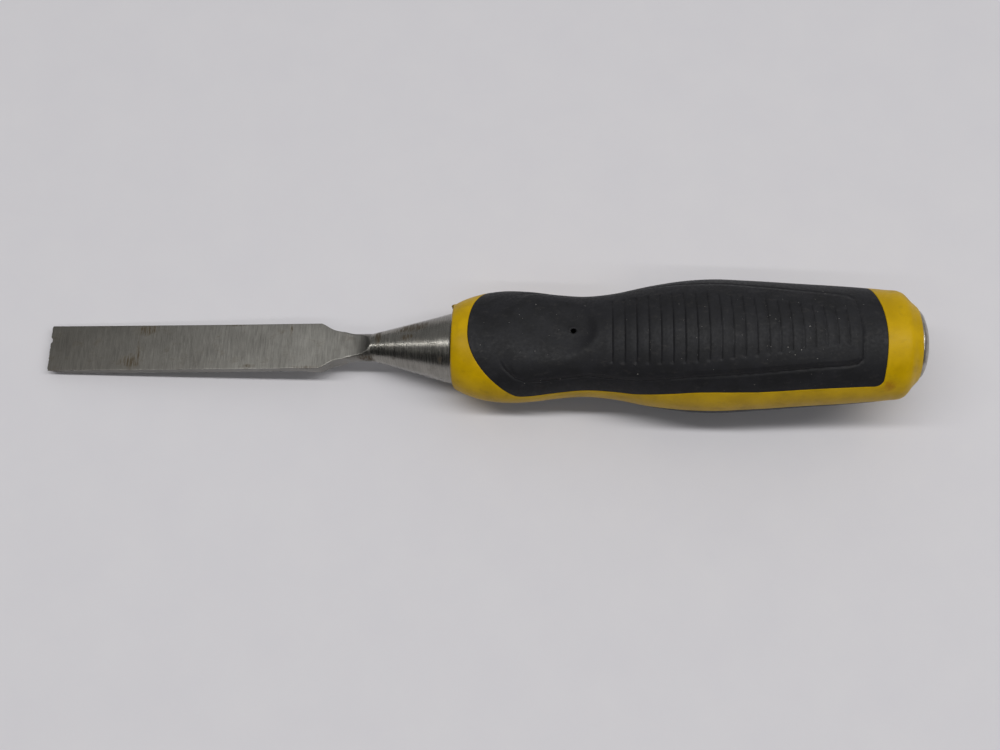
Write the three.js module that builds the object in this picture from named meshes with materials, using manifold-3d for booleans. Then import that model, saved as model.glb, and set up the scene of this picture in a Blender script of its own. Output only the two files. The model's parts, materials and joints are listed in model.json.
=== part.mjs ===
// Bench chisel, lying on a flat surface with the flat back of its blade up.
//
// Every piece is drawn in the tool's own frame, in millimetres: +X runs along the tool from the
// cutting edge to the strike cap, +Z is square to the flat back, and the tool's axis is Y = Z = 0.
// The whole tool is then inclined, because the belly of the handle and the heel of the cutting
// bevel are what it lies on.

import * as THREE from 'three';
import { mergeVertices } from 'three/addons/utils/BufferGeometryUtils.js';
import Module from 'manifold-3d';

// ---- driving dimensions ----------------------------------------------------------------------

const INCLINE = 5.3;               // degrees that the tool's axis rises from tip to cap
const GAP = 0.3;                   // clearance between pieces that touch on the real tool

const BLADE = {
  width: 12.7,
  thickness: 3.35,
  backHeight: 2.1,                 // flat back above the tool's axis
  landHeight: 2.4,                 // square side face beside the flat back
  bevelRun: 1.3,                   // how far the side bevels cut into the face
  edgeAngle: 25,                   // degrees, ground bevel of the cutting edge
};

const NECK = {
  start: 75.4,                     // shoulder where the blade begins to narrow
  waist: 84.4,                     // where the shoulder's curve ends on the round neck
  end: 89.2,                       // where the neck starts to flare into the bolster
  radius: 3.68,
  fairing: 10,                     // length over which the face swells into the round neck
  runOut: 2.4,                     // length of the wheel mark that ends the flat back
};

const BOLSTER = { end: 111.4, radius: 9.6 };
const TANG = { end: 172, rootRadius: 4.2, tipRadius: 2.6 };

const GRIP = {
  depth: 1.9,                      // thickness of the rubber
  front: 115.5,
  rear: 220.9,
  rearBow: 1.8,                    // how far the rear edge bows back in its middle
  rearSide: 15,                    // half width at which the bowed edge's ends are set
  sweep: 0.2,                      // lean of both grips toward one side, per unit across
  noseTop: 9.5,                    // height at which the nose's slope starts
  noseSlope: 5.2,                  // length of that slope along the tool
  noseRound: 1.8,
};

// Edges of the yellow stripe in side view: place along the axis and height.
const STRIPE_TOP = [
  [146, 3.2], [155, 3.5], [165, 6.1], [173, 7.6], [180, 7.4], [190, 6.8], [206, 6.3], [223.5, 5.1],
];
const STRIPE_BOTTOM = [
  [146, -5.4], [155, -4.4], [165, -1.9], [176, -1.1], [190, -1.4], [206, -1.7], [223.5, -2.3],
];
const STRIPE_FRONT = { x: 128, top: 3.2, bottom: -5 };

const DISH = { x: 136.5, length: 28, width: 24, height: 6, floor: 10.7 };

const CAP = { rimX: 230.1, topX: 233, radius: 9.2, flange: 2.3, stemRadius: 3.6, stemStart: 205 };

// Handle stations: place along the axis, half width and half height of the oval section.
const HANDLE = [
  [111.1, 10.9, 10.3],
  [112.7, 12.1, 10.7],
  [116, 13.5, 11.2],
  [124, 15.1, 11.9],
  [131, 14.9, 12.1],
  [139, 13.85, 12.0],
  [146, 13.35, 12.0],
  [153, 13.95, 12.8],
  [163, 15.9, 15.1],
  [171, 17.05, 16.45],
  [178.5, 17.5, 16.95],
  [188, 17.05, 16.25],
  [201, 16.15, 15.0],
  [214, 15.2, 13.4],
  [223, 14.2, 12.5],
  [226.2, 13.7, 12.2],
  [227.6, 12.5, 11.5],
  [230.1, 10.0, 10.0],
];

const SEGMENTS_ROUND = 32;
const SEGMENTS_HANDLE = 28;
const HANDLE_STEPS = 32;
const PROFILE_STEPS = 8;           // curve steps of the forging's side view
const SHOULDER_STEPS = 10;
const CAP_STEPS = 8;
const REACH = 40;                  // half size of a cutter that has to pass right through

// ---- small helpers ---------------------------------------------------------------------------

const wasm = await Module();
wasm.setup();

function solid(geometry) {
  const bare = geometry.index ? geometry.toNonIndexed() : geometry.clone();
  bare.deleteAttribute('normal');
  bare.deleteAttribute('uv');
  const merged = mergeVertices(bare, 1e-4);
  const mesh = new wasm.Mesh({
    numProp: 3,
    vertProperties: new Float32Array(merged.attributes.position.array),
    triVerts: new Uint32Array(merged.index.array),
  });
  return new wasm.Manifold(mesh);
}

function geometryOf(manifold) {
  const { vertProperties, triVerts, numProp } = manifold.getMesh();
  const positions = new Float32Array((vertProperties.length / numProp) * 3);
  for (let i = 0; i < positions.length / 3; i += 1) {
    for (let k = 0; k < 3; k += 1) {
      positions[3 * i + k] = vertProperties[numProp * i + k];
    }
  }
  const geometry = new THREE.BufferGeometry();
  geometry.setAttribute('position', new THREE.BufferAttribute(positions, 3));
  geometry.setIndex(new THREE.BufferAttribute(new Uint32Array(triVerts), 1));
  geometry.computeVertexNormals();
  return geometry;
}

// A body turned about the tool's axis, from [x, radius] points that start and end on the axis.
function turned(points, segments = SEGMENTS_ROUND, startAngle = 0) {
  const profile = points.map(([x, radius]) => new THREE.Vector2(radius, x));
  return new THREE.LatheGeometry(profile, segments, startAngle).rotateZ(-Math.PI / 2);
}

// An outline pushed right through the tool, as one prism that starts on z = 0.
function prism(shape, curveSegments) {
  return new THREE.ExtrudeGeometry(shape, { depth: 2 * REACH, bevelEnabled: false, curveSegments });
}

const unchanged = (geometry) => geometry;

// An outline drawn in side view (x, z), which cuts from side to side.
function sideCutter(shape, reshape, curveSegments = 3) {
  const cutter = prism(shape, curveSegments).rotateX(Math.PI / 2).translate(0, REACH, 0);
  return solid(reshape(cutter));
}

// An outline drawn in plan (x, y), which cuts from below to above.
function planCutter(shape, curveSegments = 3) {
  return solid(prism(shape, curveSegments).translate(0, 0, -REACH));
}

const vectors = (points) => points.map(([x, y]) => new THREE.Vector2(x, y));

// ---- steel blade, neck, bolster and tang, forged in one --------------------------------------

// Radius of the concave shoulder that takes the blade's half width down to the neck.
const shoulderDrop = BLADE.width / 2 - NECK.radius;
const shoulderRun = NECK.waist - NECK.start;
const shoulderRadius = (shoulderRun ** 2 + shoulderDrop ** 2) / (2 * shoulderDrop);

function shoulderHalfWidth(x) {
  const back = NECK.waist - x;
  return NECK.radius + shoulderRadius - Math.sqrt(shoulderRadius ** 2 - back ** 2);
}

function bladeBar() {
  const half = BLADE.width / 2;
  const face = BLADE.backHeight - BLADE.thickness;
  const section = new THREE.Shape(vectors([
    [-half, BLADE.backHeight],
    [-half, BLADE.backHeight - BLADE.landHeight],
    [-half + BLADE.bevelRun, face],
    [half - BLADE.bevelRun, face],
    [half, BLADE.backHeight - BLADE.landHeight],
    [half, BLADE.backHeight],
  ]));
  const bar = new THREE.ExtrudeGeometry(section, { depth: NECK.start, bevelEnabled: false });
  return solid(bar.rotateX(Math.PI / 2).rotateZ(Math.PI / 2));
}

// The shoulder, neck, bolster cone and hidden tang, all turned about one axis.
function turnedShank() {
  const points = [[NECK.start - 2, 0], [NECK.start - 2, BLADE.width / 2]];
  for (let i = 0; i <= SHOULDER_STEPS; i += 1) {
    const x = NECK.start + (shoulderRun * i) / SHOULDER_STEPS;
    points.push([x, shoulderHalfWidth(x)]);
  }
  points.push([NECK.end, NECK.radius]);
  points.push([BOLSTER.end, BOLSTER.radius]);
  points.push([BOLSTER.end, TANG.rootRadius]);
  points.push([TANG.end, TANG.tipRadius]);
  points.push([TANG.end, 0]);
  return solid(turned(points));
}

// Side view of the whole forging: the ground bevel, the face swelling into the neck, and the
// flat back with the wheel mark that ends it on the neck.
function forgingProfile() {
  const back = BLADE.backHeight;
  const face = back - BLADE.thickness;
  const bevelLength = BLADE.thickness / Math.tan(THREE.MathUtils.degToRad(BLADE.edgeAngle));
  const fairingStart = NECK.start - 2;
  const fairingEnd = fairingStart + NECK.fairing;
  const below = -NECK.radius - 1;
  const shape = new THREE.Shape();
  shape.moveTo(0, back);
  shape.lineTo(bevelLength, face);
  shape.lineTo(fairingStart, face);
  shape.bezierCurveTo(fairingStart + 4, face, fairingEnd - 3, below + 0.6, fairingEnd, below);
  shape.lineTo(NECK.end, -REACH);
  shape.lineTo(TANG.end + 1, -REACH);
  shape.lineTo(TANG.end + 1, REACH);
  shape.lineTo(NECK.end, REACH);
  shape.lineTo(NECK.end, NECK.radius + 1);
  shape.quadraticCurveTo(NECK.end, back, NECK.end - NECK.runOut, back);
  shape.closePath();
  return sideCutter(shape, unchanged, PROFILE_STEPS);
}

function bladeForging() {
  return bladeBar().add(turnedShank()).intersect(forgingProfile());
}

// ---- handle ----------------------------------------------------------------------------------

// The handle's oval body, drawn in by `inset` all round. The sections change from oval to round
// at both ends, so each ring of the turned body is squeezed to its own half height. Its facets
// touch the oval at their middles, with one facet square to the ground for the tool to lie on.
function handleBody(inset) {
  const stations = HANDLE.map(([x, width, height]) => new THREE.Vector3(x, width, height));
  const rings = new THREE.CatmullRomCurve3(stations).getSpacedPoints(HANDLE_STEPS);
  const first = rings[0];
  const last = rings[rings.length - 1];
  const halfFacet = Math.PI / SEGMENTS_HANDLE;
  const toCorner = 1 / Math.cos(halfFacet);
  const flanks = rings.map((p) => [p.x, (p.y - inset) * toCorner]);
  const outline = [[first.x, 0], ...flanks, [last.x, 0]];
  const geometry = turned(outline, SEGMENTS_HANDLE, halfFacet);
  const position = geometry.attributes.position;
  for (let i = 0; i < position.count; i += 1) {
    const ring = rings[(i % outline.length) - 1];
    if (ring) {
      position.setZ(i, position.getZ(i) * ((ring.z - inset) / (ring.y - inset)));
    }
  }
  return solid(geometry);
}

// Plan outline shared by both grips, which ends them in a gently bowed rear edge.
function aheadOfCollar(grow) {
  const rear = GRIP.rear + grow;
  const side = GRIP.rearSide;
  const shape = new THREE.Shape();
  shape.moveTo(GRIP.front - REACH, REACH);
  shape.lineTo(GRIP.front - REACH, -REACH);
  shape.lineTo(rear - 2 * GRIP.rearBow, -REACH);
  shape.lineTo(rear - 0.6 * GRIP.rearBow, -side);
  shape.quadraticCurveTo(rear + 0.4 * GRIP.rearBow, -3, rear - 1.3 * GRIP.rearBow, side - 2);
  shape.lineTo(rear - 2 * GRIP.rearBow, REACH);
  shape.closePath();
  return planCutter(shape);
}

// Both grips sweep back along one side: their side view outlines lean with y by this much.
function swept(geometry) {
  return geometry.applyMatrix4(new THREE.Matrix4().makeShear(0, 0, -GRIP.sweep, 0, 0, 0));
}

// Side view of one grip's region, beyond one edge of the yellow stripe and behind the grip's nose.
// `side` is 1 above the stripe and -1 below it.
function gripRegion(side, edge, edgeFront, grow) {
  const nose = GRIP.front - grow;
  const slopeStart = nose + GRIP.noseRound;
  const slopeEnd = slopeStart + GRIP.noseSlope;
  const slopeFoot = Math.abs(edgeFront) + 0.9;
  const shoulder = GRIP.noseTop + GRIP.noseRound;
  const level = (height) => height - side * grow;
  const rear = edge[edge.length - 1];
  const shape = new THREE.Shape();
  shape.moveTo(nose, side * REACH);
  shape.lineTo(nose, side * (shoulder + GRIP.noseRound));
  shape.quadraticCurveTo(nose, side * shoulder, slopeStart, level(side * GRIP.noseTop));
  shape.lineTo(slopeEnd, level(side * slopeFoot));
  shape.quadraticCurveTo(slopeEnd + 1, level(edgeFront), STRIPE_FRONT.x, level(edgeFront));
  shape.splineThru(vectors(edge.map(([x, height]) => [x, level(height)])));
  shape.lineTo(GRIP.rear + REACH, level(rear[1]));
  shape.lineTo(GRIP.rear + REACH, side * REACH);
  shape.closePath();
  return sideCutter(shape, swept);
}

const aboveStripe = (grow) => gripRegion(1, STRIPE_TOP, STRIPE_FRONT.top, grow);
const belowStripe = (grow) => gripRegion(-1, STRIPE_BOTTOM, STRIPE_FRONT.bottom, grow);

function thumbDish() {
  const bowl = new THREE.SphereGeometry(1, 28, 16);
  bowl.scale(DISH.length / 2, DISH.width / 2, DISH.height / 2);
  return solid(bowl.translate(DISH.x, 0, DISH.floor + DISH.height / 2));
}

function grip(region) {
  const skin = handleBody(0).subtract(handleBody(GRIP.depth));
  return skin.intersect(aheadOfCollar(0)).intersect(region(0));
}

function upperGrip() {
  return grip(aboveStripe).subtract(thumbDish());
}

function lowerGrip() {
  return grip(belowStripe);
}

function gripRecess(region) {
  const around = handleBody(-GAP).subtract(handleBody(GRIP.depth + GAP));
  return around.intersect(aheadOfCollar(GAP)).intersect(region(GAP));
}

// Bore for the bolster's base and the tang, open at the handle's face.
function tangBore() {
  return solid(turned([
    [HANDLE[0][0] - 1, 0],
    [HANDLE[0][0] - 1, BOLSTER.radius + GAP],
    [BOLSTER.end + GAP, BOLSTER.radius + GAP],
    [BOLSTER.end + GAP, TANG.rootRadius + GAP],
    [TANG.end + GAP, TANG.tipRadius + GAP],
    [TANG.end + GAP, 0],
  ]));
}

// Pocket for the strike cap's flange and stem, open at the butt.
function capPocket() {
  const seat = CAP.rimX - CAP.flange - GAP;
  return solid(turned([
    [CAP.stemStart - GAP, 0],
    [CAP.stemStart - GAP, CAP.stemRadius + GAP],
    [seat, CAP.stemRadius + GAP],
    [seat, CAP.radius + GAP],
    [CAP.topX, CAP.radius + GAP],
    [CAP.topX, 0],
  ]));
}

function handleCore() {
  return handleBody(0)
    .subtract(gripRecess(aboveStripe))
    .subtract(gripRecess(belowStripe))
    .subtract(tangBore())
    .subtract(capPocket());
}

// ---- strike cap ------------------------------------------------------------------------------

function strikeCap() {
  const rise = CAP.topX - CAP.rimX;
  const points = [
    [CAP.stemStart, 0],
    [CAP.stemStart, CAP.stemRadius],
    [CAP.rimX - CAP.flange, CAP.stemRadius],
    [CAP.rimX - CAP.flange, CAP.radius],
  ];
  for (let i = 0; i <= CAP_STEPS; i += 1) {
    const turn = (Math.PI / 2) * (i / CAP_STEPS);
    points.push([CAP.rimX + rise * Math.sin(turn), CAP.radius * Math.cos(turn)]);
  }
  return solid(turned(points));
}

// ---- assembly --------------------------------------------------------------------------------

function finish(color, roughness, metalness) {
  return new THREE.MeshStandardMaterial({ color, roughness, metalness });
}

function piece(name, manifold, material) {
  const mesh = new THREE.Mesh(geometryOf(manifold), material);
  mesh.name = name;
  return mesh;
}

const tool = new THREE.Group();
tool.add(
  piece('blade_forging', bladeForging(), finish(0x8f8d87, 0.38, 1)),
  piece('handle_core', handleCore(), finish(0xc79a12, 0.45, 0)),
  piece('upper_grip', upperGrip(), finish(0x2b2c30, 0.75, 0)),
  piece('lower_grip', lowerGrip(), finish(0x2b2c30, 0.75, 0)),
  piece('strike_cap', strikeCap(), finish(0xa9a9a6, 0.25, 1)),
);
tool.rotation.y = -THREE.MathUtils.degToRad(INCLINE);
tool.updateMatrixWorld(true);

// The origin is the middle of the box's bottom face, on the surface that the tool lies on.
const box = new THREE.Box3().setFromObject(tool, true);
const middle = box.getCenter(new THREE.Vector3());
tool.position.set(-middle.x, -middle.y, -box.min.z);

const chisel = new THREE.Group();
chisel.add(tool);

export default chisel;
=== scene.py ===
"""Looks of the bench chisel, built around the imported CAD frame.

Shapes are worked out in the tool's own frame, in millimetres: x runs along the tool from the cutting edge
to the strike cap, z is square to the flat back, and the tool's axis is y = z = 0. Places round the handle
are given as an angle in degrees: 0 is the far side, 90 the top, 180 the near side and 270 the underside.
Every mesh of the chisel keeps its tool coordinates in the attribute "tool", which the materials read.
"""
import json
import math

import bpy
import numpy as np
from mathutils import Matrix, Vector

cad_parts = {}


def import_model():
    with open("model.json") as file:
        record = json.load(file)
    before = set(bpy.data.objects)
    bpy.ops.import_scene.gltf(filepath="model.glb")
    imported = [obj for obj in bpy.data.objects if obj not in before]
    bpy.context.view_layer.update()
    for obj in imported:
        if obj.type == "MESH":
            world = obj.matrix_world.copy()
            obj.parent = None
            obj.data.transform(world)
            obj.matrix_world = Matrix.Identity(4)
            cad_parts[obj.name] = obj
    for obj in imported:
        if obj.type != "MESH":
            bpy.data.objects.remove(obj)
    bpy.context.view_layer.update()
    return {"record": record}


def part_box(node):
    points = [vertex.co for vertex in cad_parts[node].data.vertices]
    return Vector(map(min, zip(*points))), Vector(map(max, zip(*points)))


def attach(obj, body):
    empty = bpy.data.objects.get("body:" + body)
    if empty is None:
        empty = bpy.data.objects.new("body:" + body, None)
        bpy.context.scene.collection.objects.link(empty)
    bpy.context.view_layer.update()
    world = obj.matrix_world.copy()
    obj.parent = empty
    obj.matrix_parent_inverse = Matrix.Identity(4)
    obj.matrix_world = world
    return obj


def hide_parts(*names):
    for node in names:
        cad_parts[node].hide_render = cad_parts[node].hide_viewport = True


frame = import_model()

MM = 0.001

# ---- dimensions, in millimetres ---------------------------------------------------------------

BACK_HEIGHT = 2.1                  # flat back above the tool's axis
BLADE_HALF_WIDTH = 6.35
FACE_HEIGHT = -1.25                # underside of the blade
LAND_BOTTOM = -0.3                 # lower edge of the square side face
SIDE_BEVEL_RUN = 1.3
EDGE_ANGLE = 25
EDGE_BLUNTNESS = 0.04
TIP_FLARE = 0.14                   # the blade is a little wider at its tip
EDGE_CRISPNESS = 120               # higher values round the blade's long edges less
SHOULDER_X = 75.4
NECK_X = 89.2
NECK_RADIUS = 3.68
BOLSTER_X = 111.4
BOLSTER_RADIUS = 9.6
BOLSTER_SET = 0.55                 # the bolster's base is this far off the axis, toward the near side
WHEEL_MARK_X = 83.6                # where the flat back starts to sweep up, behind the shoulder
WHEEL_MARK_CURVE = 2.2             # higher values make that sweep later and steeper
NICK_Y = 2.25                      # middle of the chip in the cutting edge
NICK_HALF_WIDTH = 0.7
NICK_DEPTH = 0.42
WORN_LENGTH = 7.0                  # the wear of the cutting edge fades out over this length
TANG_X = 172.0
TANG_ROOT_RADIUS = 4.2
TANG_TIP_RADIUS = 2.6

HANDLE_FRONT = 111.1
HANDLE_REAR = 230.1
CAP_RIM_X = 230.1
CAP_TOP_X = 232.98
CAP_RADIUS = 9.2
CAP_FLANGE_X = 227.8
STEM_RADIUS = 3.6
STEM_X = 205.0
FIT = 0.15                         # clearance between pieces

# The neck sits a little toward the far side, as the tang and handle aren't dead straight.
SET_MIDDLE = 105.0
SET_LENGTH = 38.0
SET_DEPTH = 0.3

# ---- the tool's frame, from the flat back's mount ---------------------------------------------

mounts = {mount["name"]: mount for mount in frame["record"]["mounts"]}
Z_AXIS = np.array(mounts["blade_back"]["axis"])
X_AXIS = np.array([Z_AXIS[2], 0.0, -Z_AXIS[0]])
Y_AXIS = np.array([0.0, 1.0, 0.0])
AXES = np.array([X_AXIS, Y_AXIS, Z_AXIS])

on_back = np.array(mounts["blade_back"]["pos_m"])
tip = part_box("blade_forging")[0].x
edge_point = on_back + X_AXIS * (tip - on_back[0]) / X_AXIS[0]
ORIGIN = edge_point - Z_AXIS * BACK_HEIGHT * MM


def world(points):
    """Points of the tool's frame in the shared frame, in metres."""
    points = np.array(points, dtype=float)
    points[..., 1] += SET_DEPTH * np.exp(-((points[..., 0] - SET_MIDDLE) / SET_LENGTH)**2)
    return ORIGIN + points @ AXES * MM


# ---- small mathematics ------------------------------------------------------------------------

def smooth_curve(knots):
    """A smooth function through (x, value, ...) knots."""
    knots = np.array(knots, dtype=float)
    xs = knots[:, 0]
    values = knots[:, 1:]
    slopes = np.gradient(values, xs, axis=0)

    def curve(x):
        x = np.clip(np.asarray(x, dtype=float), xs[0], xs[-1])
        i = np.clip(np.searchsorted(xs, x, side="right") - 1, 0, len(xs) - 2)
        span = xs[i + 1] - xs[i]
        t = ((x - xs[i]) / span)[..., None]
        span = span[..., None]
        value = (values[i] * (2 * t**3 - 3 * t**2 + 1) + values[i + 1] * (3 * t**2 - 2 * t**3)
                 + slopes[i] * span * (t**3 - 2 * t**2 + t) + slopes[i + 1] * span * (t**3 - t**2))
        return value[..., 0] if value.shape[-1] == 1 else value

    return curve


def smoothstep(low, high, x):
    t = np.clip((np.asarray(x, dtype=float) - low) / (high - low), 0, 1)
    return t * t * (3 - 2 * t)


def mix(a, b, share):
    return a + (b - a) * share


def rounding(distance, radius):
    """How far a rounded edge falls below its surface at a distance from the edge."""
    inside = np.clip(radius - distance, 0, radius)
    return radius - np.sqrt(radius**2 - inside**2)


EDGE_STEPS = np.array([0, 0.04, 0.09, 0.16, 0.25, 0.4])


def edged(count, length):
    """Values from 0 to 1 along `length` millimetres, with short steps beside both ends."""
    steps = EDGE_STEPS / length
    middle = np.linspace(0.65 / length, 1 - 0.65 / length, count)
    return np.concatenate([steps, middle, 1 - steps[::-1]])


# ---- meshes -----------------------------------------------------------------------------------

def add_mesh(name, vertices, faces, node, sharp=38):
    """A piece of the chisel from tool coordinates, which stands for one CAD node.

    Edges that bend by more than `sharp` degrees are shaded as sharp.
    """
    vertices = np.asarray(vertices, dtype=float)
    volume = sum(np.dot(vertices[f[0]], np.cross(vertices[f[1]], vertices[f[2]])) for f in faces[::7])
    if volume < 0:
        faces = [face[::-1] for face in faces]
    mesh = bpy.data.meshes.new(name)
    mesh.from_pydata(world(vertices).tolist(), [], faces)
    mesh.attributes.new("tool", "FLOAT_VECTOR", "POINT").data.foreach_set("vector", vertices.ravel())
    mesh.validate()
    mesh.shade_smooth()
    mesh.set_sharp_from_angle(angle=math.radians(sharp))
    piece = bpy.data.objects.new(name, mesh)
    bpy.context.scene.collection.objects.link(piece)
    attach(piece, "root")
    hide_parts(node)
    return piece


def tube(rings, front_hollow=(0, 0, 0)):
    """Vertices and faces of a closed body made of rings, with a point closing each end.

    `front_hollow` moves the point that closes the first ring.
    """
    rings = [np.asarray(ring, dtype=float) for ring in rings]
    count = len(rings[0])
    front_point = rings[0].mean(axis=0) + front_hollow
    vertices = np.concatenate(rings + [front_point[None], rings[-1].mean(axis=0)[None]])
    faces = []
    for i in range(len(rings) - 1):
        for j in range(count):
            k = (j + 1) % count
            faces.append((i * count + j, i * count + k, (i + 1) * count + k, (i + 1) * count + j))
    front = len(vertices) - 2
    back = len(vertices) - 1
    last = (len(rings) - 1) * count
    for j in range(count):
        k = (j + 1) % count
        faces.append((front, k, j))
        faces.append((back, last + j, last + k))
    return vertices, faces


def circle(x, radius, angles):
    """A ring square to the tool's axis, with a point at each angle."""
    theta = np.radians(angles)
    x = np.full_like(theta, x)
    return np.stack([x, radius * np.cos(theta), radius * np.sin(theta)], axis=-1)


# ---- blade, neck, bolster and tang ------------------------------------------------------------

BEYOND = 40.0                      # puts a limiting plane too far out to matter

# The shoulder drops off quickly behind a crisp corner and then eases into the neck.
shoulder_width = smooth_curve([
    (SHOULDER_X, BLADE_HALF_WIDTH), (76.35, 5.87), (77.1, 5.41), (78.0, 4.86), (79.1, 4.36), (80.2, 4.04),
    (81.7, 3.8), (84.8, 3.67), (NECK_X, NECK_RADIUS),
])


def blade_half_width(x):
    """Half the width of the blade and neck, and the radius of the cone behind them."""
    flare = TIP_FLARE * max(0.0, 1 - x / SHOULDER_X)
    return float(shoulder_width(x)) + flare if x <= NECK_X else cone_radius(x)


def cone_radius(x):
    """Radius of the bolster, a cone that starts with a slight hollow."""
    along = (x - NECK_X) / (HANDLE_FRONT - NECK_X)
    return NECK_RADIUS + (BOLSTER_RADIUS - NECK_RADIUS) * (along + 0.02 * (math.exp(-9 * along) - 1))


def blade_top(x):
    """Height of the flat back, which sweeps up out of the neck in a short hollow wheel mark."""
    lift = max(0.0, x - WHEEL_MARK_X) / (NECK_X - WHEEL_MARK_X)
    height = BACK_HEIGHT + (NECK_RADIUS - BACK_HEIGHT) * lift**WHEEL_MARK_CURVE
    return height if lift < 1 else height + BEYOND


def blade_bottom(x):
    """Height of the underside: the ground bevel, the flat face, and then the swell into the neck."""
    bevel = BACK_HEIGHT - EDGE_BLUNTNESS - x * math.tan(math.radians(EDGE_ANGLE))
    swell = smoothstep(SHOULDER_X - 4, NECK_X - 2, x) * 2.7
    height = max(FACE_HEIGHT, bevel) - swell
    return height - BEYOND if x > NECK_X - 1 else height


def blade_section(x):
    """One closed ring of the forging: a flat bar that turns into a round neck and cone.

    The ring starts as an outline with sharp corners. Each of its points then moves along its ray from the
    section's centre until it meets the softened hull of the section's planes.
    """
    half = blade_half_width(x)
    top = blade_top(x)
    bottom = blade_bottom(x)
    foot = max(bottom, -half)
    land = max(foot, LAND_BOTTOM - 4 * smoothstep(SHOULDER_X - 6, SHOULDER_X + 4, x))
    low_half = half - SIDE_BEVEL_RUN * min(1.0, max(0.02, land - foot) / (LAND_BOTTOM - FACE_HEIGHT))
    centre = mix((BACK_HEIGHT + max(FACE_HEIGHT, bottom)) / 2, 0.0, smoothstep(55, SHOULDER_X, x))
    shoulder = np.clip((x - SHOULDER_X) / 10, 0, 1)
    round_gauge = smoothstep(SHOULDER_X - 3, SHOULDER_X + 1, x) / (half * (1 + 1.2 * (1 - shoulder)**2))
    lid = min(top, 0.86 * half)
    corners = np.array([(-half, lid), (half, lid), (half, land), (low_half, foot), (-low_half, foot),
                        (-half, land), (-half, lid)])
    spans = [(70, 2 * half), (3, 1.6), (3, 1.4), (24, 2 * half), (3, 1.4), (3, 1.6)]
    ring = [mix(start, end, edged(count, length)[:-1, None])
            for start, end, (count, length) in zip(corners[:-1], corners[1:], spans)]
    ring = np.concatenate(ring) - [0, centre]
    y, z = ring.T / np.linalg.norm(ring, axis=1)
    slope_y, slope_z = land - foot, half - low_half
    reach = slope_y * half + slope_z * (centre - land)
    planes = [z / (top - centre), -z / (centre - bottom), np.abs(y) / half,
              (slope_y * np.abs(y) - slope_z * z) / max(reach, 1e-6)]
    planes = [np.clip(plane, 0, None) for plane in planes]
    planes.append(np.full_like(y, round_gauge))
    gauge = sum(plane**EDGE_CRISPNESS for plane in planes)**(1 / EDGE_CRISPNESS)
    return np.stack([np.full_like(y, x), y / gauge, centre + z / gauge], axis=-1)


def blade_stations():
    """Places of the forging's rings, closest together where its shape changes fastest."""
    near_edge = [0, 0.05, 0.12, 0.25, 0.5, 0.8, 1.2, 1.8, 2.6, 3.6, 4.8, 6, 6.9, 7.05, 7.1, 7.2, 7.5, 8.2]
    shank = np.arange(9.5, SHOULDER_X - 2.5, 1.1)
    shoulder = np.arange(SHOULDER_X - 2.4, 86, 0.3)
    run_out = np.arange(86, NECK_X + 0.6, 0.1)
    cone = np.arange(NECK_X + 0.8, BOLSTER_X - 0.2, 0.4)
    return np.concatenate([near_edge, shank, shoulder, run_out, cone])


def edge_wear(y):
    """How far the cutting edge has been worn back at each place across it, in millimetres."""
    nick = NICK_DEPTH * np.exp(-((y - NICK_Y) / NICK_HALF_WIDTH)**4)
    small_nick = 0.14 * np.exp(-((y + 3.4) / 0.35)**2)
    corners = 0.16 * np.exp(-((np.abs(y) - BLADE_HALF_WIDTH) / 0.28)**2)
    ripple = 0.035 * np.sin(y * 2.7 + 1) + 0.02 * np.sin(y * 7.1) + 0.014 * np.sin(y * 13.7 + 2)
    skew = 0.03 * (BLADE_HALF_WIDTH - y)
    return 0.08 + nick + small_nick + corners + ripple + skew


def blade_forging():
    rings = [blade_section(x) for x in blade_stations()]
    for ring in rings:
        x = ring[0, 0]
        ring[:, 0] += edge_wear(ring[:, 1]) * max(0.0, 1 - x / WORN_LENGTH)
        ring[:, 1] -= TIP_FLARE * max(0.0, 1 - x / SHOULDER_X)
        ring[:, 1] -= BOLSTER_SET * smoothstep(86, BOLSTER_X, x)
    around = np.degrees(np.arctan2(rings[-1][:, 2], rings[-1][:, 1] + BOLSTER_SET))
    rings.append(circle(BOLSTER_X, BOLSTER_RADIUS, around) - [0, BOLSTER_SET, 0])
    for x, radius in ((BOLSTER_X, TANG_ROOT_RADIUS), (TANG_X - 1, TANG_TIP_RADIUS), (TANG_X, 1.8)):
        rings.append(circle(x, radius, around))
    vertices, faces = tube(rings, front_hollow=(3.0, 0, -0.08))
    return add_mesh("chisel_blade", vertices, faces, "blade_forging", sharp=32)


# ---- the handle's surface ---------------------------------------------------------------------

# Place along the axis, half width, half height.
section = smooth_curve([
    (HANDLE_FRONT, 10.6, 9.95), (111.3, 11.0, 10.2), (111.9, 11.55, 10.45), (112.9, 12.15, 10.7),
    (116, 13.5, 11.2),
    (124, 15.1, 11.9), (131, 14.9, 12.1), (139, 13.85, 12.0), (146, 13.35, 12.0), (153, 13.95, 12.8),
    (163, 15.9, 15.05), (171, 17.05, 16.4), (178.5, 17.45, 16.9), (188, 17.05, 16.2), (201, 16.15, 14.95),
    (214, 15.3, 13.35), (223, 14.4, 12.5), (226.1, 13.95, 12.2), (226.9, 13.5, 11.95), (227.6, 12.75, 11.5),
    (228.5, 11.5, 10.85), (229.6, 10.35, 10.2), (230.1, 9.85, 9.8),
])
PAD_HEIGHT = 0.35                  # the ribbed pad stands this far above the rest of the upper grip
FACE_LEAN = 0.5                    # the front face leans back by this much at the top


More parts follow.
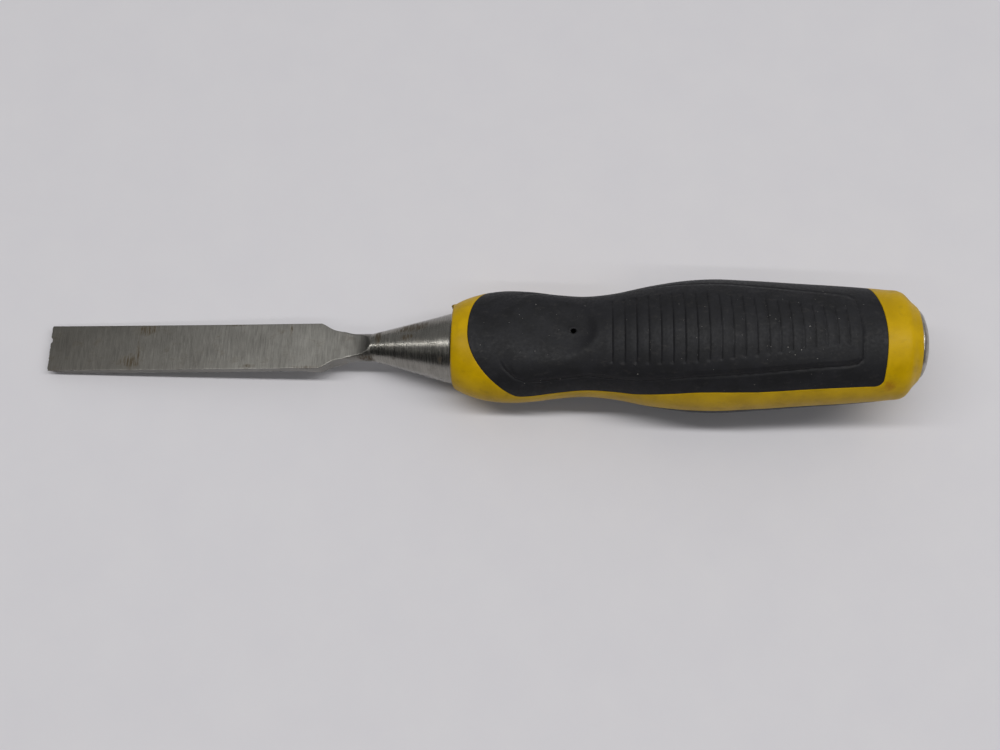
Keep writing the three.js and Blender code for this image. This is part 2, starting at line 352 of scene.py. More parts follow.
def surface(x, angle):
    """Points on the handle without its pad, and the outward normals there."""
    theta = np.radians(angle)
    cosine = np.cos(theta)
    sine = np.sin(theta)
    half = section(x)
    slope = (section(x + 0.05) - section(x - 0.05)) / 0.1
    under_grip = smoothstep(113, 120, x) * (1 - smoothstep(219, 224, x))
    lowered = PAD_HEIGHT * np.clip(sine, 0, None)**2 * under_grip
    points = np.stack([x, half[..., 0] * cosine, half[..., 1] * sine - lowered], axis=-1)
    along = np.stack([np.ones_like(x), slope[..., 0] * cosine, slope[..., 1] * sine], axis=-1)
    around = np.stack([np.zeros_like(x), -half[..., 0] * sine, half[..., 1] * cosine], axis=-1)
    normals = np.cross(around, along)
    return points, normals / np.linalg.norm(normals, axis=-1, keepdims=True)


# ---- outlines of the grips --------------------------------------------------------------------

# Side view heights of the yellow stripes' edges. The far stripe's upper edge is lower than the near one's.
STRIPE_TOP = smooth_curve([(118, 1.9), (140, 2.1), (149, 2.6), (154, 3.15), (159, 4.6), (164.5, 6.15),
                           (169.5, 7.25), (174.5, 7.65), (180, 7.4), (185, 7.0), (190, 6.8), (200, 6.5),
                           (210, 6.05), (222, 5.2)])
STRIPE_TOP_FAR = smooth_curve([(118, 1.9), (140, 2.0), (149, 2.0), (156, 2.1), (163, 2.6), (175, 3.2),
                               (190, 3.6), (205, 3.8), (222, 4.2)])
STRIPE_BOTTOM = smooth_curve([(118, -5.0), (144, -5.4), (155, -4.2), (163, -2.0), (175, -1.1), (190, -1.35),
                              (205, -1.6), (222, -2.2)])

# The handle is meshed in four regions: the upper grip, the far stripe, the lower grip and the near stripe.
UPPER, FAR, LOWER, NEAR = 0, 1, 2, 3
REGION_ARC = {UPPER: 40.0, FAR: 10.0, LOWER: 38.0, NEAR: 10.0}     # their rough widths round the handle
NOSE_X = 115.05
NOSE_REACH = 126.9                 # where the side line of the nose, at 45 degrees, would meet the axis
NOSE_CORNER = 1.1                  # rounding where that line meets the stripe
ROWS_FRONT = NOSE_X + 4            # the rows of a grip's mesh are spaced from here to REAR_X
REAR_X = 221.0
REAR_CORNER = 2.3
REAR_BOW = 126.0                   # larger values bow the rear edge less


def sweep(y):
    """The grips' outlines lean back on the near side and forward on the far side."""
    return -0.015 * y * np.abs(y)


def seam_angle(x, stripe, near):
    """Angle at which the handle passes the stripe's edge. `stripe` gives its side view height."""
    angle = np.zeros_like(x)
    toward = -1 if near else 1
    sign = -1 if stripe is STRIPE_BOTTOM else 1
    for _ in range(14):
        half = section(x)
        x_side = x - sweep(toward * half[..., 0] * np.cos(angle))
        level = np.abs(stripe(x_side))
        ahead = NOSE_REACH - level - x_side
        rise = 0.5 * (ahead + np.sqrt(ahead**2 + NOSE_CORNER**2))
        angle = np.arcsin(np.clip(sign * (level + rise) / half[..., 1], -0.97, 0.97))
    return np.degrees(angle)


def nose_x(angle, stripe):
    """Where the nose of a grip crosses each angle round the handle."""
    theta = np.radians(angle)
    level = abs(float(stripe(np.array([NOSE_REACH - 4]))[0]))
    x = np.full_like(theta, NOSE_X + 3)
    for _ in range(40):
        half = section(x)
        above = np.clip(np.abs(half[..., 1] * np.sin(theta)) - level, NOSE_CORNER / 2, None)
        ahead = above - NOSE_CORNER**2 / (4 * above)
        side_line = NOSE_REACH - level - ahead - NOSE_X
        x_side = NOSE_X + 0.5 * (side_line + np.sqrt(side_line**2 + 0.8**2))
        x = mix(x, x_side + sweep(half[..., 0] * np.cos(theta)), 0.5)
    return x


def rear_x(region, angle, share):
    """Rear edge of both grips: bowed in plan, with rounded corners where it meets the stripe."""
    y = section(np.full_like(angle, REAR_X))[..., 0] * np.cos(np.radians(angle))
    from_corner = np.minimum(share, 1 - share) * REGION_ARC[region]
    if region in (UPPER, LOWER):
        corner = rounding(from_corner, REAR_CORNER)
    else:
        corner = REAR_CORNER * (1 - smoothstep(0, 2 * REAR_CORNER, from_corner))
    return REAR_X - (y + 4)**2 / REAR_BOW - corner


def corner_angle(stripe, near):
    """Angle of the corner where a grip's nose meets the stripe's edge."""
    level = abs(float(stripe(np.array([NOSE_REACH - 4]))[0]))
    x = np.array([NOSE_REACH - level])
    for _ in range(20):
        angle = seam_angle(x, stripe, near)
        y = section(x)[:, 0] * np.cos(np.radians(angle)) * (-1 if near else 1)
        x = NOSE_REACH - level + sweep(y)
    return float(angle[0])


SEAM_STRIPES = ((STRIPE_TOP, True), (STRIPE_TOP_FAR, False), (STRIPE_BOTTOM, False), (STRIPE_BOTTOM, True))


def round_the_handle(near_top, far_top, far_low, near_low):
    """Angles of the five region borders, running down from the near upper seam and back to it."""
    return [180 - near_top, far_top, far_low, -180 - near_low, -180 - near_top]


CORNERS = round_the_handle(*[corner_angle(stripe, near) for stripe, near in SEAM_STRIPES])


def seam_columns(places):
    """Angles of the region borders from the four seams' places along the axis."""
    return round_the_handle(*[seam_angle(x, *which) for x, which in zip(places, SEAM_STRIPES)])


def nose_line(region, share):
    """(x, angle) along the line through both noses, inside one region from its near to its far seam."""
    angle = mix(CORNERS[region], CORNERS[region + 1], share)
    if region == UPPER:
        return nose_x(angle, STRIPE_TOP), angle
    if region == LOWER:
        return nose_x(angle, STRIPE_BOTTOM), angle
    first = STRIPE_TOP if region == FAR else STRIPE_BOTTOM
    last = STRIPE_BOTTOM if region == FAR else STRIPE_TOP
    start = nose_x(np.array([CORNERS[region]]), first)[0]
    stop = nose_x(np.array([CORNERS[region + 1]]), last)[0]
    return mix(start, stop, share), angle


def grip_rows(region, rows, columns):
    """(x, angle) over one region between the nose line and the rear edge."""
    front, front_angle = nose_line(region, columns)
    rear = rear_x(region, front_angle, columns)
    straight = mix(ROWS_FRONT, REAR_X, rows)
    pull_front = (1 - smoothstep(0, 0.3, rows))[:, None] * (front - ROWS_FRONT)[None, :]
    pull_rear = np.clip((rows - 0.93) / 0.07, 0, 1)[:, None]**2 * (rear - REAR_X)[None, :]
    x = straight[:, None] + pull_front + pull_rear
    first, last = x[:, 0], x[:, -1]
    spots = {UPPER: (first, last, last, first), FAR: (first, first, last, last),
             LOWER: (last, first, first, last), NEAR: (last, last, last, first)}[region]
    seams = seam_columns(spots)
    angle = mix(seams[region][:, None], seams[region + 1][:, None], columns[None, :])
    return x, angle


# ---- yellow core of the handle ----------------------------------------------------------------

RECESS_DEPTH = 2.8
SEAM_ROUNDING = 0.14
SEAM_OFFSET = 0.03                 # the core's outermost mesh line at a seam lies this far from its edge
BURR_ANGLE = 24                    # a fin of moulding flash stands at this angle on the front edge
BURR_HEIGHT = 0.45
BURR_REACH = 0.35                  # how far it leans forward
GRIP_LENGTH = 105.0
CORE_COLUMNS = {UPPER: 36, FAR: 22, LOWER: 30, NEAR: 22}


def core_region(region):
    """(x, angle, depth) of one region of the core, from the handle's face to its butt."""
    columns = edged(CORE_COLUMNS[region], REGION_ARC[region])
    rows = edged(150, GRIP_LENGTH)
    front, front_angle = nose_line(region, columns)
    ahead = edged(16, 8.0)[:-1, None]
    x_front = mix(HANDLE_FRONT, front[None, :], ahead)
    x_grip, angle_grip = grip_rows(region, rows, columns)
    behind = edged(26, 9.0)[1:, None]
    x_rear = mix(x_grip[-1][None, :], HANDLE_REAR, behind)
    x = np.concatenate([x_front, x_grip, x_rear])
    angle = np.concatenate([np.repeat(front_angle[None, :], len(ahead), axis=0), angle_grip,
                            np.repeat(angle_grip[-1][None, :], len(behind), axis=0)])
    depth = np.zeros_like(x)
    from_side = np.minimum(columns, 1 - columns) * REGION_ARC[region]
    covered = slice(len(ahead) + 1, len(ahead) + len(rows) - 1)
    if region in (UPPER, LOWER):
        depth[covered, 1:-1] = RECESS_DEPTH
        depth[covered, [0, -1]] = rounding(SEAM_OFFSET, SEAM_ROUNDING)
        depth[:len(ahead)] = rounding(front[None, :] - x_front, SEAM_ROUNDING)
        depth[-len(behind):] = rounding(x_rear - x_grip[-1][None, :], SEAM_ROUNDING)
        depth[len(ahead)] = depth[len(ahead) + len(rows) - 1] = rounding(SEAM_OFFSET, SEAM_ROUNDING)
    else:
        depth[covered] = rounding(from_side[None, :] + SEAM_OFFSET, SEAM_ROUNDING)
    return x[:, :-1], angle[:, :-1], depth[:, :-1]


def face_lean(angle):
    """How far the handle's front face leans back at an angle round it."""
    return FACE_LEAN * np.clip(np.sin(np.radians(angle)), 0, None)**2


def handle_core():
    """The core from inside its bore, over its face and outside, to inside the pocket of the cap."""
    parts = [core_region(region) for region in (UPPER, FAR, LOWER, NEAR)]
    x, angle, depth = (np.concatenate([part[k] for part in parts], axis=1) for k in range(3))
    points, normals = surface(x, angle)
    points = points - normals * depth[..., None]
    burr = np.exp(-((angle - BURR_ANGLE) / 2.2)**2) * np.exp(-((x - HANDLE_FRONT) / 0.5)**2)
    points += burr[..., None] * (BURR_HEIGHT * normals - [BURR_REACH, 0, 0])
    points[..., 0] += face_lean(angle) * (1 - smoothstep(0, 3.5, x - HANDLE_FRONT))
    around = angle[0]
    aside = np.array([0, -BOLSTER_SET, 0])
    rings = [circle(TANG_X + 1, 1.9, around), circle(TANG_X - 1, TANG_TIP_RADIUS + FIT, around),
             circle(BOLSTER_X + FIT, TANG_ROOT_RADIUS + FIT, around),
             circle(BOLSTER_X + FIT, BOLSTER_RADIUS + FIT, around) + aside,
             circle(HANDLE_FRONT, BOLSTER_RADIUS + FIT, around) + aside]
    rings[-1][:, 0] += face_lean(around)
    rings.extend(points)
    around = angle[-1]
    rings += [circle(HANDLE_REAR + 0.05, CAP_RADIUS + 0.4, around),
              circle(HANDLE_REAR, CAP_RADIUS + FIT, around),
              circle(CAP_FLANGE_X - FIT, CAP_RADIUS + FIT, around),
              circle(CAP_FLANGE_X - FIT, STEM_RADIUS + FIT, around),
              circle(STEM_X - FIT, STEM_RADIUS + FIT, around)]
    vertices, faces = tube(rings)
    return add_mesh("yellow_handle_core", vertices, faces, "handle_core")


# ---- rubber grips -----------------------------------------------------------------------------

GRIP_GAP = 0.05
GRIP_ROUNDING = 0.22
GRIP_THICKNESS = 2.7
UNDERSIDE_STRIDE = 6               # the hidden inner face has one column for this many outer ones
ARC_PER_DEGREE = 0.253             # millimetres round the handle for each degree, near its middle

GATE_X = 143.2                     # hole where the rubber was injected
GATE_Y = 0.3
DISH_X = 136.4                     # middle of the thumb dish
DISH_Y = 0.6
DISH_HALF_LENGTH = 12.6
DISH_HALF_WIDTH = 8.4
DISH_DEPTH = 1.35
RIB_FIRST_X = 153.0
RIB_PITCH = 3.05
RIB_CLOSING = 0.0067               # a rib falls behind its even place by this times its number squared
RIB_COUNT = 21
RIB_DEPTH = 0.29

# Half angle of the ribbed pad, from the top, along the handle.
PAD_OUTLINE = [(121.5, 0), (121.9, 10), (123.3, 22), (125.7, 39), (128.2, 50), (131, 55.8), (136, 57),
               (141, 56.3), (147, 54), (152, 56), (157, 56.3), (161, 54.6), (165, 51.6), (175, 46.5),
               (187, 44.5), (197, 42), (205, 39.8), (211, 38.4), (213.6, 36.5), (214.8, 32), (215.1, 0)]


def distance_to_line(x, arc, line):
    """Distance from each point to a polyline of (x, arc) points."""
    best = np.full(x.shape, 1e9)
    for (x0, s0), (x1, s1) in zip(line[:-1], line[1:]):
        dx, ds = x1 - x0, s1 - s0
        t = np.clip(((x - x0) * dx + (arc - s0) * ds) / (dx * dx + ds * ds), 0, 1)
        best = np.minimum(best, (x - x0 - t * dx)**2 + (arc - s0 - t * ds)**2)
    return np.sqrt(best)


def pad_distance(x, from_top):
    """Distance inside the pad's outline, negative outside. `from_top` is in degrees."""
    outline = np.array(PAD_OUTLINE)
    line = [(px, pa * ARC_PER_DEGREE) for px, pa in PAD_OUTLINE]
    distance = distance_to_line(x, np.abs(from_top) * ARC_PER_DEGREE, line)
    inside = np.abs(from_top) < np.interp(x, outline[:, 0], outline[:, 1], left=-1, right=-1)
    return np.where(inside, distance, -distance)


# Half length of the ribs in degrees, and how far their middles lean to the near side.
rib_reach = smooth_curve([(150, 35.5, 0), (165, 33, 1.2), (180, 28.5, 1.8), (200, 21.5, 1), (211, 16.5, 0)])


def rib_grooves(x, from_top):
    """Share of the full depth of the ribs' grooves: each falls slowly and ends in a steep step."""
    along = np.clip(x - RIB_FIRST_X, 0, None)
    number = along / (RIB_PITCH - RIB_CLOSING * along / RIB_PITCH)
    number = np.clip(np.round(number), 0, RIB_COUNT - 1)
    centre = RIB_FIRST_X + RIB_PITCH * number - RIB_CLOSING * number**2
    reach = rib_reach(centre)
    past_end = np.clip(np.abs(from_top - reach[..., 1]) - reach[..., 0], 0, None) * ARC_PER_DEGREE
    across = x - centre
    slope = np.clip((across + 1.5) / 1.6, 0, 1)**2 * (1 - smoothstep(0.05, 0.55, across))
    return slope * (1 - smoothstep(0.0, 0.6, past_end))


def thumb_dish(x, y):
    """Depth of the thumb rest: a shallow oval, deepest and steepest toward the ribs."""
    along = (x - DISH_X) / DISH_HALF_LENGTH
    across = (y - DISH_Y) / DISH_HALF_WIDTH
    rim = np.hypot(along, across)
    toward_ribs = np.clip(along / np.maximum(rim, 0.25), 0, 1)
    inward = 1 - rim
    inward = np.clip(0.5 * (inward + np.sqrt(inward**2 + 0.07**2)), 0, 1)
    steepness = mix(1.7, 6.5, toward_ribs**2)
    return (1 - (1 - inward)**steepness) * (DISH_DEPTH + 0.4 * along)


def gate_mark(x, y):
    """Depth of the injection hole, with a faint raised ring round it."""
    reach = np.hypot(x - GATE_X, y - GATE_Y)
    return 1.0 * (1 - smoothstep(0.42, 0.68, reach)) - 0.12 * np.exp(-((reach - 1.15) / 0.25)**2)


def upper_relief(x, angle, points):
    """Height of the upper grip's moulded detail above the bare handle.

    The pad's outline fades out at the far front.
    """
    from_top = angle - 90
    x = x + (points[..., 1] + 4)**2 / REAR_BOW * smoothstep(150, 222, x)
    inside = pad_distance(x, from_top)
    faded = (1 - smoothstep(124, 134, x)) * (1 - smoothstep(24, 44, from_top))
    pad = PAD_HEIGHT * np.clip((inside + 0.1) / (1.4 + 4 * faded), 0, 1)**1.5
    outline_groove = 0.2 * (1 - faded) * np.exp(-((inside + 0.1) / 0.3)**2)
    outline_lip = 0.09 * (1 - faded) * np.exp(-((inside - 0.5) / 0.25)**2)
    sunk = thumb_dish(x, points[..., 1]) + gate_mark(x, points[..., 1])
    return pad + outline_lip - outline_groove - RIB_DEPTH * rib_grooves(x, from_top) - sunk


def no_relief(x, angle, points):
    return np.zeros_like(x)


def grip_shell(region, rows, columns, relief):
    """Vertices and faces of one closed grip."""
    x, angle = grip_rows(region, rows, columns)
    base, normals = surface(x, angle)
    along = np.zeros_like(x)
    along[1:] = np.cumsum(np.linalg.norm(np.diff(base, axis=0), axis=2), axis=0)
    across = np.zeros_like(x)
    across[:, 1:] = np.cumsum(np.linalg.norm(np.diff(base, axis=1), axis=2), axis=1)
    edge = np.minimum(np.minimum(along, along[-1] - along), np.minimum(across, across[:, -1:] - across))
    height = relief(x, angle, base) * smoothstep(0, 0.4, edge) - rounding(edge, GRIP_ROUNDING)
    top = base + normals * height[..., None]
    bottom = base - normals * GRIP_THICKNESS
    row_count, column_count = x.shape
    stride = UNDERSIDE_STRIDE
    kept = list(range(0, column_count - 1, stride)) + [column_count - 1]
    vertices = np.concatenate([top.reshape(-1, 3), bottom[:, kept].reshape(-1, 3)])
    offset = row_count * column_count

    def at(i, j):
        return i * column_count + j

    def under(i, k):
        return offset + i * len(kept) + k

    faces = [(at(i, j), at(i + 1, j), at(i + 1, j + 1), at(i, j + 1))
             for i in range(row_count - 1) for j in range(column_count - 1)]
    for i in range(row_count - 1):
        faces += [(under(i, k), under(i, k + 1), under(i + 1, k + 1), under(i + 1, k))
                  for k in range(len(kept) - 1)]
        last = len(kept) - 1
        faces.append((at(i, 0), under(i, 0), under(i + 1, 0), at(i + 1, 0)))
        faces.append((at(i, column_count - 1), at(i + 1, column_count - 1),
                      under(i + 1, last), under(i, last)))
    end = row_count - 1
    for k in range(len(kept) - 1):
        run = list(range(kept[k], kept[k + 1] + 1))
        faces.append(tuple([at(0, j) for j in run] + [under(0, k + 1), under(0, k)]))
        faces.append(tuple([at(end, j) for j in reversed(run)] + [under(end, k), under(end, k + 1)]))
    return vertices, faces


def grip_rows_spacing(fine_from, fine_to, fine, coarse):
    """Row parameters that are closest together where the ribs are."""
    span = REAR_X - ROWS_FRONT
    start = (fine_from - ROWS_FRONT) / span
    stop = (fine_to - ROWS_FRONT) / span
    border = EDGE_STEPS / span
    rows = np.concatenate([border, np.arange(0.6 / span, start, coarse / span),
                           np.arange(start, stop, fine / span),
                           np.arange(stop, 1 - 0.55 / span, coarse / span), 1 - border[::-1]])
    gap = GRIP_GAP / span
    return gap + (1 - 2 * gap) * rows


def grip_columns(count, region):
    """Column parameters, with a small gap to the core at both seams."""
    gap = GRIP_GAP / REGION_ARC[region]
    return gap + (1 - 2 * gap) * edged(count, REGION_ARC[region])


def upper_grip():
    rows = grip_rows_spacing(141.5, 212.5, 0.21, 0.3)
    vertices, faces = grip_shell(UPPER, rows, grip_columns(150, UPPER), upper_relief)
    return add_mesh("upper_rubber_grip", vertices, faces, "upper_grip")


def lower_grip():
    rows = grip_rows_spacing(150, 160, 0.6, 0.7)
    vertices, faces = grip_shell(LOWER, rows, grip_columns(60, LOWER), no_relief)
    return add_mesh("lower_rubber_grip", vertices, faces, "lower_grip")


# ---- strike cap -------------------------------------------------------------------------------

# Hammer marks on the strike cap: y, z, radius and depth.
DENTS = ((3.1, 5.2, 1.1, 0.16), (-2.4, 3.0, 0.8, 0.12), (1.0, -4.4, 1.3, 0.14), (5.8, -1.5, 0.7, 0.1),
         (-5.5, -2.0, 1.0, 0.12), (6.4, 4.2, 0.6, 0.1))


def strike_cap():
    """The stem, the flange, and the dome with its hammer marks."""
    around = np.arange(0, 360, 3.0)
    dome = CAP_TOP_X - CAP_RIM_X
    profile = [(STEM_X, 2.8), (STEM_X + 0.6, STEM_RADIUS - 0.05), (CAP_FLANGE_X, STEM_RADIUS - 0.05),
               (CAP_FLANGE_X, CAP_RADIUS - 0.3), (CAP_FLANGE_X + 0.2, CAP_RADIUS),
               (CAP_RIM_X - 0.35, CAP_RADIUS), (CAP_RIM_X, CAP_RADIUS - 0.01)]
    for turn in np.radians(np.linspace(3, 89, 44)):
        profile.append((CAP_RIM_X + dome * math.sin(turn), (CAP_RADIUS - 0.02) * math.cos(turn)))
    rings = [circle(x, radius, around) for x, radius in profile]
    for ring in rings[7:]:
        for y, z, size, depth in DENTS:
            ring[:, 0] -= depth * np.exp(-((ring[:, 1] - y)**2 + (ring[:, 2] - z)**2) / size**2)
    vertices, faces = tube(rings)
    return add_mesh("steel_strike_cap", vertices, faces, "strike_cap")


# ---- materials --------------------------------------------------------------------------------

def srgb(red, green, blue):
    """Linear colour from the 0 to 255 values seen on a screen."""
    def linear(value):
        value = value / 255
        return value / 12.92 if value <= 0.04045 else ((value + 0.055) / 1.055)**2.4
    return (linear(red), linear(green), linear(blue), 1.0)


class Shading:
    """A material's node tree, with short ways to add and join its nodes."""

    def __init__(self, name):
        self.material = bpy.data.materials.new(name)
        self.material.use_nodes = True
        self.nodes = self.material.node_tree.nodes
        self.links = self.material.node_tree.links
        self.shader = self.nodes["Principled BSDF"]

    def read_tool_coordinates(self):
        coordinates = self.nodes.new("ShaderNodeAttribute")
        coordinates.attribute_name = "tool"
        self.tool = coordinates.outputs["Vector"]
        split = self.nodes.new("ShaderNodeSeparateXYZ")
        self.links.new(self.tool, split.inputs[0])
        self.x, self.y, self.z = split.outputs
        return self

    def join(self, value, socket):
        if isinstance(value, bpy.types.NodeSocket):
            self.links.new(value, socket)
        else:
            socket.default_value = value

    def maths(self, operation, *values, clamp=False):
        node = self.nodes.new("ShaderNodeMath")
        node.operation = operation
        node.use_clamp = clamp
        for value, socket in zip(values, node.inputs):
            self.join(value, socket)
        return node.outputs[0]

    def stretched(self, sx, sy, sz, offset=(0, 0, 0)):
        node = self.nodes.new("ShaderNodeMapping")
        node.inputs["Scale"].default_value = (sx, sy, sz)
        node.inputs["Location"].default_value = offset
        self.links.new(self.tool, node.inputs["Vector"])
        return node.outputs[0]

    def noise(self, vector, scale, detail=4.0, roughness=0.55, distortion=0.0):
        node = self.nodes.new("ShaderNodeTexNoise")
        self.links.new(vector, node.inputs["Vector"])
        node.inputs["Scale"].default_value = scale
        node.inputs["Detail"].default_value = detail
        node.inputs["Roughness"].default_value = roughness
        node.inputs["Distortion"].default_value = distortion
        return node.outputs["Fac"]

    def ramp(self, value, low, high, start=0.0, end=1.0, smooth=True):
        node = self.nodes.new("ShaderNodeMapRange")
        node.interpolation_type = "SMOOTHSTEP" if smooth else "LINEAR"
        self.join(value, node.inputs["Value"])
        for name, setting in (("From Min", low), ("From Max", high), ("To Min", start), ("To Max", end)):
            self.join(setting, node.inputs[name])
        return node.outputs["Result"]

    def blend(self, share, first, second, mode="MIX"):
        node = self.nodes.new("ShaderNodeMix")
        node.data_type = "RGBA"
        node.blend_type = mode
        self.join(share, node.inputs["Factor"])
        self.join(first, node.inputs[6])
        self.join(second, node.inputs[7])
        return node.outputs[2]

    def spot(self, centre, radii, ragged=0.0, scale=1.5, core=0.6):
        """One inside an ellipsoid in tool coordinates, falling softly to zero at its edge."""
        parts = []
        for value, middle, radius in zip((self.x, self.y, self.z), centre, radii):
            offset = self.maths("DIVIDE", self.maths("SUBTRACT", value, middle), radius)
            parts.append(self.maths("MULTIPLY", offset, offset))
        square = self.maths("ADD", self.maths("ADD", parts[0], parts[1]), parts[2])
        reach = self.maths("SQRT", square)
        if ragged:
            grain = self.noise(self.tool, scale, 3)
            shift = self.maths("MULTIPLY", self.maths("SUBTRACT", grain, 0.5), ragged)
            reach = self.maths("ADD", reach, shift)
        return self.ramp(reach, core, 1.0, 1.0, 0.0)

    def bump(self, height, strength, distance):
        node = self.nodes.new("ShaderNodeBump")
        node.inputs["Strength"].default_value = strength
        node.inputs["Distance"].default_value = distance
        self.links.new(height, node.inputs["Height"])
        self.links.new(node.outputs[0], self.shader.inputs["Normal"])

    def set(self, **sockets):
        for name, value in sockets.items():
            self.join(value, self.shader.inputs[name.replace("_", " ")])

    def paint(self, *pieces):
        for piece in pieces:
            piece.data.materials.append(self.material)


# Rust and old dirt on the steel: middle, reach along each axis, and strength.
STAINS = (
    ((27.3, 5.2, 2.1), (4.0, 2.6, 2), 1.15), ((23.3, -4.2, 2.1), (4.6, 2.8, 2), 1.15),
    ((25.3, -1.6, 2.1), (0.8, 4.8, 2), 1.1), ((67.2, 4.5, 2.1), (0.42, 2.9, 2), 1.3),
    ((52.5, 6.2, 2.1), (5.0, 0.5, 2), 0.8), ((56.3, -5.6, 2.1), (2.6, 0.8, 2), 0.9),
    ((72.0, -6.2, 2.1), (6.0, 0.7, 2), 0.6), ((91.3, 1.4, 3.3), (1.2, 3.6, 3), 2.2),
    ((88.2, -3.2, 0.8), (3.2, 1.5, 2.6), 1.8), ((101.0, 3.6, 5.5), (8.0, 2.6, 3), 1.7),
    ((99.5, 0.4, 6.1), (2.6, 1.4, 2), 1.9), ((108.5, -5.8, 5.5), (1.3, 1.5, 3), 1.8),
    ((109.6, -7.0, 3.0), (1.2, 1.8, 3), 1.8),
)


def blade_steel():
    """Steel ground across the blade and turned on the cone, with old stains, and painted shade that darkens
    the flat toward the tip.
    """
    s = Shading("ground_blade_steel").read_tool_coordinates()
    ground = s.noise(s.stretched(4.0, 0.16, 0.5), 1.6, 6, 0.7)
    weave = s.noise(s.stretched(0.35, 4.0, 1.0), 1.3, 4, 0.6)
    turned = s.noise(s.stretched(8.0, 0.1, 0.1), 1.2, 5, 0.68)
    on_cone = s.ramp(s.x, 88.9, 89.3)
    lines = s.blend(on_cone, ground, turned)
    cloud = s.noise(s.tool, 0.12, 4, 0.55)
    shade = s.maths("ADD", s.maths("MULTIPLY", lines, 0.62), s.maths("MULTIPLY", cloud, 0.38))
    flat = s.blend(s.ramp(shade, 0.32, 0.68), srgb(113, 111, 106), srgb(143, 141, 135))
    # Painted shade: the flat is darkened toward the tip, standing in for the darker side of the room it
    # reflects there.
    flat = s.blend(s.ramp(s.x, -5.0, 75.0, 0.7, 0.0), flat, srgb(74, 71, 66))
    cone = s.blend(s.ramp(shade, 0.32, 0.68), srgb(124, 122, 116), srgb(160, 157, 150))
    colour = s.blend(on_cone, flat, cone)
    streaks = s.noise(s.stretched(3.2, 0.3, 0.6), 0.9, 5, 0.65, 0.3)
    blotches = s.noise(s.stretched(0.5, 0.8, 0.8), 0.5, 6, 0.66, 0.4)
    stains = s.maths("MULTIPLY", s.ramp(blotches, 0.52, 0.8), 0.45)
    for centre, radii, strength in STAINS:
        spot = s.spot(centre, radii, 0.9, 0.9, 0.15)
        streaked = s.maths("MULTIPLY", s.ramp(streaks, 0.4, 0.64, 0.15, 1.0), strength)
        stains = s.maths("MAXIMUM", stains, s.maths("MULTIPLY", spot, streaked))
    stains = s.maths("MAXIMUM", stains, s.ramp(s.noise(s.tool, 2.6, 2, 0.5), 0.75, 0.83, 0.0, 0.6))
    stains = s.maths("MINIMUM", stains, 0.9)
    colour = s.blend(stains, colour, srgb(66, 54, 33))
    rough = s.maths("ADD", s.ramp(lines, 0.25, 0.75, 0.3, 0.44), s.maths("MULTIPLY", stains, 0.25))
    rough = s.maths("ADD", rough, s.maths("MULTIPLY", on_cone, -0.11))
    s.set(Base_Color=colour, Metallic=s.ramp(stains, 0.2, 1.0, 1.0, 0.6), Roughness=rough)
    height = s.maths("ADD", s.maths("MULTIPLY", lines, 0.7), s.maths("MULTIPLY", weave, 0.2))
    height = s.maths("SUBTRACT", height, s.maths("MULTIPLY", stains, 0.35))
    s.bump(height, 0.55, 0.00004)
    return s


def yellow_plastic():
    """Semi-matt hard plastic with rubbed-in grime, and painted shade along the joint with the bolster."""
    s = Shading("yellow_plastic").read_tool_coordinates()
    cloud = s.noise(s.tool, 0.13, 4, 0.6)
    mottle = s.noise(s.tool, 1.1, 4, 0.6)
    colour = s.blend(s.ramp(cloud, 0.3, 0.7), srgb(176, 141, 0), srgb(196, 158, 1))
    dirt_noise = s.noise(s.stretched(0.7, 1, 1), 0.45, 6, 0.66, 0.3)
    dirt_and_shade = s.maths("MULTIPLY", s.ramp(dirt_noise, 0.5, 0.85), 0.35)
    # Painted shade: a dark band where the front face meets the bolster, joined with the rubbed-in dirt
    # below.
    front_edge_shade = s.ramp(s.x, 110.95, 111.45, 0.9, 0.0)
    dirt_and_shade = s.maths("MAXIMUM", dirt_and_shade, front_edge_shade)
    colour = s.blend(dirt_and_shade, colour, srgb(104, 88, 34))
    smudge = s.spot((221.8, -13.6, 6.0), (2.4, 2.0, 3.0), 0.8, 0.9, 0.2)
    colour = s.blend(s.maths("MULTIPLY", smudge, 0.7), colour, srgb(150, 96, 8))
    specks = s.ramp(s.noise(s.tool, 4.5, 2, 0.5), 0.74, 0.8, 0.0, 0.4)
    colour = s.blend(specks, colour, srgb(84, 72, 40))
    rough = s.maths("ADD", s.ramp(mottle, 0.3, 0.7, 0.36, 0.46), s.maths("MULTIPLY", dirt_and_shade, 0.25))
    s.set(Base_Color=colour, Roughness=rough, Specular_IOR_Level=0.14)
    grain = s.maths("ADD", s.maths("MULTIPLY", mottle, 0.6), s.noise(s.tool, 6.0, 3, 0.6))
    s.bump(grain, 0.35, 0.00006)
    return s


